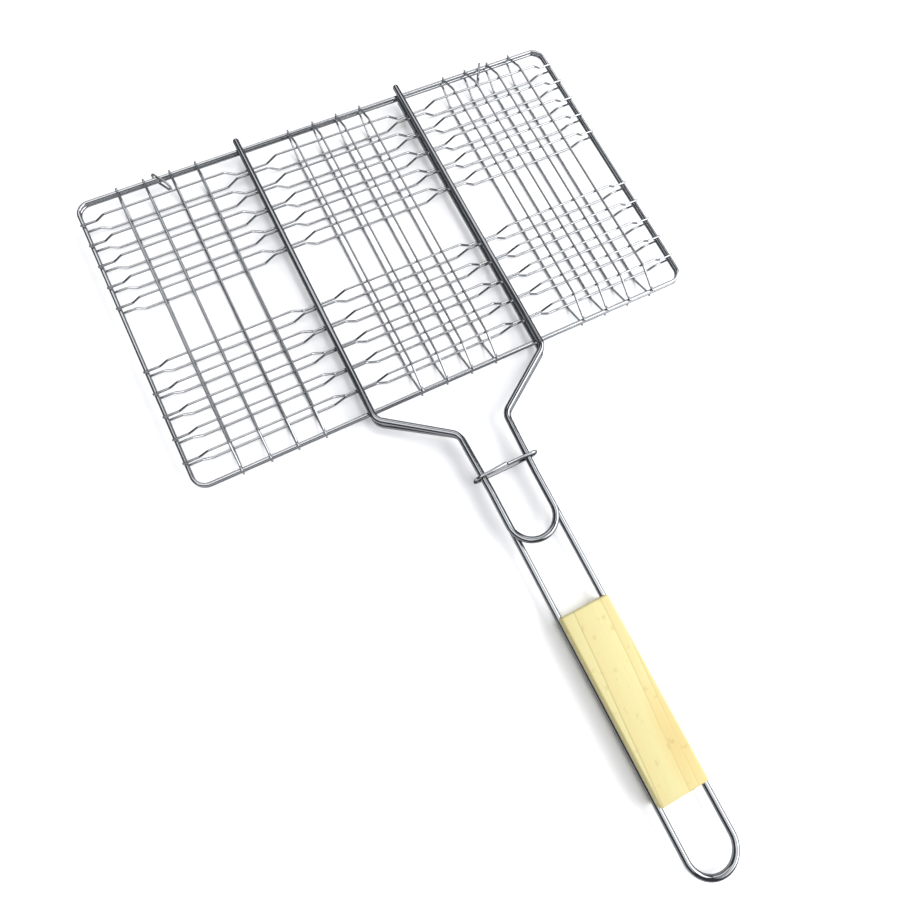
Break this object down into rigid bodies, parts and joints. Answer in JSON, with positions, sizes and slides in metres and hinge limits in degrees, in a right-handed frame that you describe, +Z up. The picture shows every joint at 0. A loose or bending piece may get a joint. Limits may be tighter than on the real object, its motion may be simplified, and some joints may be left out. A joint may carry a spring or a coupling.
{
  "type": "hinged grill basket",
  "caption": "Flat three-pocket wire grill basket: two chromed grids hinged along one long edge, a sliding locking ring and a long looped handle with a wooden grip.",
  "frame": {"origin": "middle of the overall bounding box, on the plane the basket rests on", "axes": "+X along the hinged long side, +Y from the handle towards the hinged edge, +Z up through the closed basket"},
  "size_m": [0.382, 0.5902, 0.0214],
  "materials": {
    "grid_chrome": "bright chrome plating over thin steel wire",
    "frame_chrome": "bright chrome plating over steel frame wire",
    "rod_chrome": "mirror chrome plating over thick steel rod",
    "ring_chrome": "bright chrome plating over steel ring wire",
    "grip_wood": "sanded pale yellow wood, unvarnished"
  },
  "bodies": {
    "lower_half": {"lower_frame": "frame_chrome", "lower_handle_rod": "rod_chrome", "lower_cross_wire_01": "grid_chrome", "lower_cross_wire_02": "grid_chrome", "lower_cross_wire_03": "grid_chrome", "lower_cross_wire_04": "grid_chrome", "lower_cross_wire_05": "grid_chrome", "lower_cross_wire_06": "grid_chrome", "lower_cross_wire_07": "grid_chrome", "lower_cross_wire_08": "grid_chrome", "lower_cross_wire_09": "grid_chrome", "lower_cross_wire_10": "grid_chrome", "lower_long_wire_01": "grid_chrome", "lower_long_wire_02": "grid_chrome", "lower_long_wire_03": "grid_chrome", "lower_long_wire_04": "grid_chrome", "lower_long_wire_05": "grid_chrome", "lower_long_wire_06": "grid_chrome", "lower_long_wire_07": "grid_chrome", "lower_long_wire_08": "grid_chrome", "lower_long_wire_09": "grid_chrome", "lower_long_wire_10": "grid_chrome", "lower_long_wire_11": "grid_chrome", "lower_long_wire_12": "grid_chrome", "wooden_grip": "grip_wood"},
    "upper_half": {"upper_frame": "frame_chrome", "upper_handle_rod": "rod_chrome", "upper_cross_wire_01": "grid_chrome", "upper_cross_wire_02": "grid_chrome", "upper_cross_wire_03": "grid_chrome", "upper_cross_wire_04": "grid_chrome", "upper_cross_wire_05": "grid_chrome", "upper_cross_wire_06": "grid_chrome", "upper_cross_wire_07": "grid_chrome", "upper_cross_wire_08": "grid_chrome", "upper_cross_wire_09": "grid_chrome", "upper_cross_wire_10": "grid_chrome", "upper_long_wire_01": "grid_chrome", "upper_long_wire_02": "grid_chrome", "upper_long_wire_03": "grid_chrome", "upper_long_wire_04": "grid_chrome", "upper_long_wire_05": "grid_chrome", "upper_long_wire_06": "grid_chrome", "upper_long_wire_07": "grid_chrome", "upper_long_wire_08": "grid_chrome", "upper_long_wire_09": "grid_chrome", "upper_long_wire_10": "grid_chrome", "upper_long_wire_11": "grid_chrome", "upper_long_wire_12": "grid_chrome"},
    "locking_ring_body": {"locking_ring": "ring_chrome"},
    "hinge_ring_left_body": {"hinge_ring_left": "ring_chrome"},
    "hinge_ring_right_body": {"hinge_ring_right": "ring_chrome"}
  },
  "joints": [
    {"name": "basket_hinge", "type": "hinge", "parent": "lower_half", "child": "upper_half", "pos_m": [0, 0.2882, 0.01215], "axis": [-1, 0, 0], "range_deg": [0, 90]},
    {"name": "locking_ring_slide", "type": "slide", "parent": "lower_half", "child": "locking_ring_body", "axis": [0, -1, 0], "range_m": [-0.018, 0.102]},
    {"name": "hinge_ring_left_tip", "type": "hinge", "parent": "lower_half", "child": "hinge_ring_left_body", "pos_m": [-0.128, 0.2882, 0.0107], "axis": [1, 0, 0], "range_deg": [-30, 30]},
    {"name": "hinge_ring_right_tip", "type": "hinge", "parent": "lower_half", "child": "hinge_ring_right_body", "pos_m": [0.133, 0.2882, 0.0107], "axis": [1, 0, 0], "range_deg": [-30, 30]}
  ]
}
